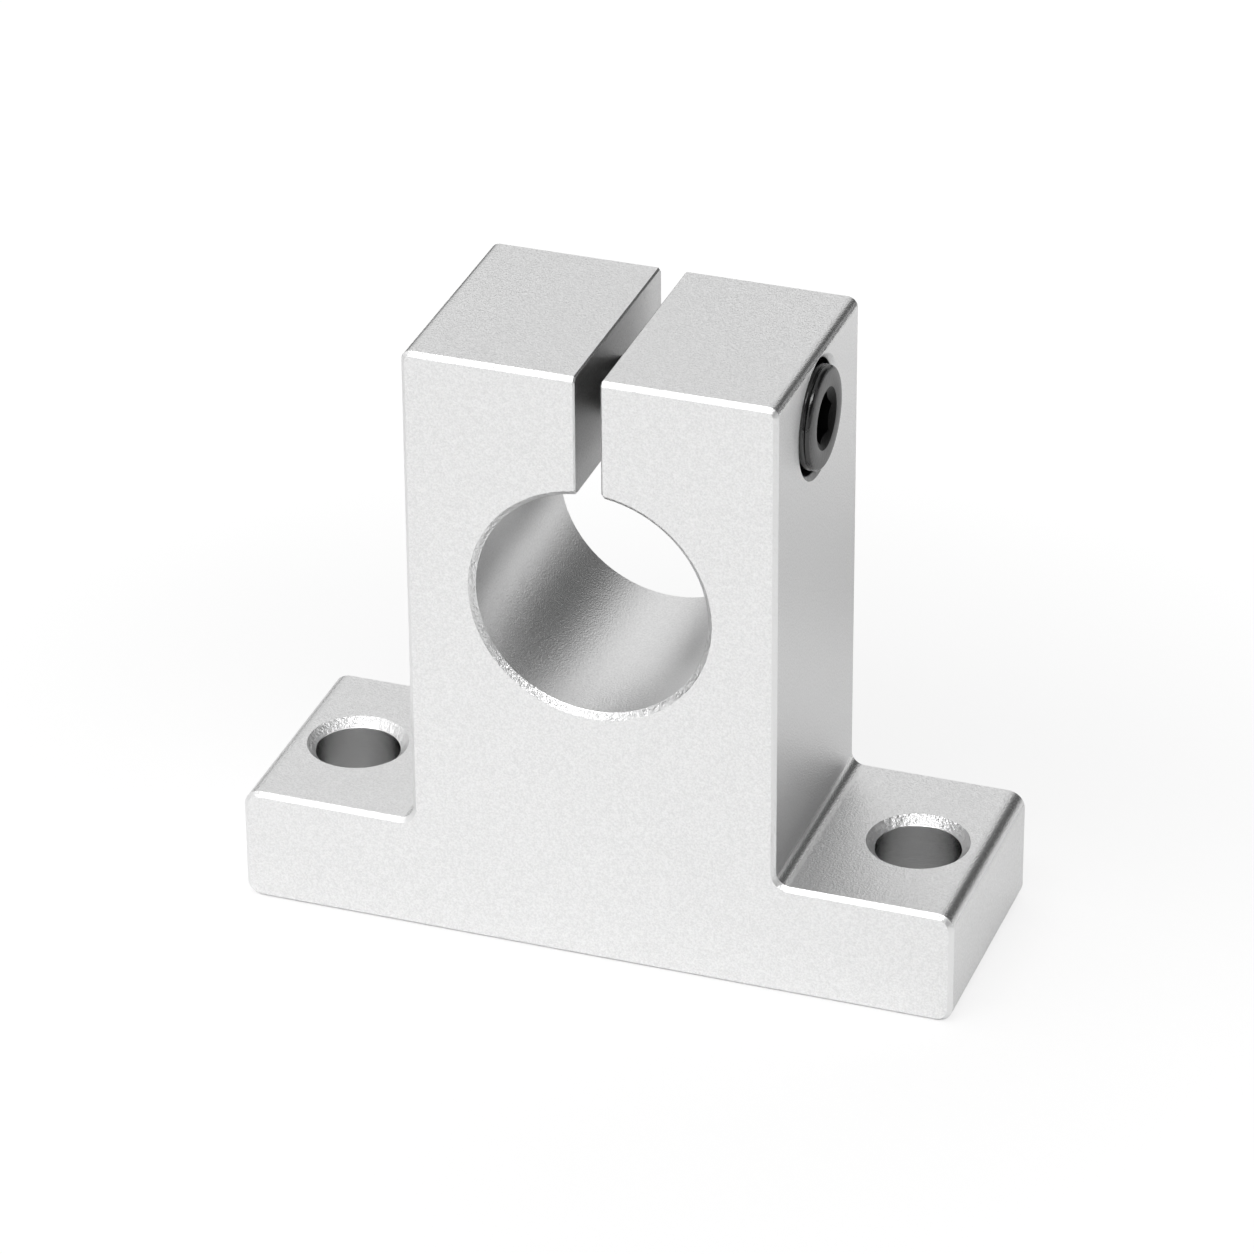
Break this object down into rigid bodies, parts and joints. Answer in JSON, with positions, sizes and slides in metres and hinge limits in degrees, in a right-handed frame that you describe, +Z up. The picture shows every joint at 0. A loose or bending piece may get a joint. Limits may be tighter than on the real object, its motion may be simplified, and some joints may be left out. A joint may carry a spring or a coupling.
{
  "type": "shaft support block",
  "caption": "Clamping support block for a round shaft, with a slotted bore drawn together by a socket head screw and a bolt hole in each base flange.",
  "frame": {"origin": "middle of the base face", "axes": "+X across the flanges, towards the screw's head; +Y along the shaft; +Z up from the base"},
  "size_m": [0.05, 0.017, 0.0435],
  "materials": {
    "block": "blasted and clear anodised",
    "screw": "black oxide"
  },
  "bodies": {
    "block": {"support_block": "block"},
    "screw": {"clamp_screw": "screw"}
  },
  "joints": [
    {"name": "screw_turn", "type": "hinge", "parent": "block", "child": "screw", "pos_m": [0.00935, 0, 0.0388], "axis": [1, 0, 0], "range_deg": [0, 450]}
  ]
}
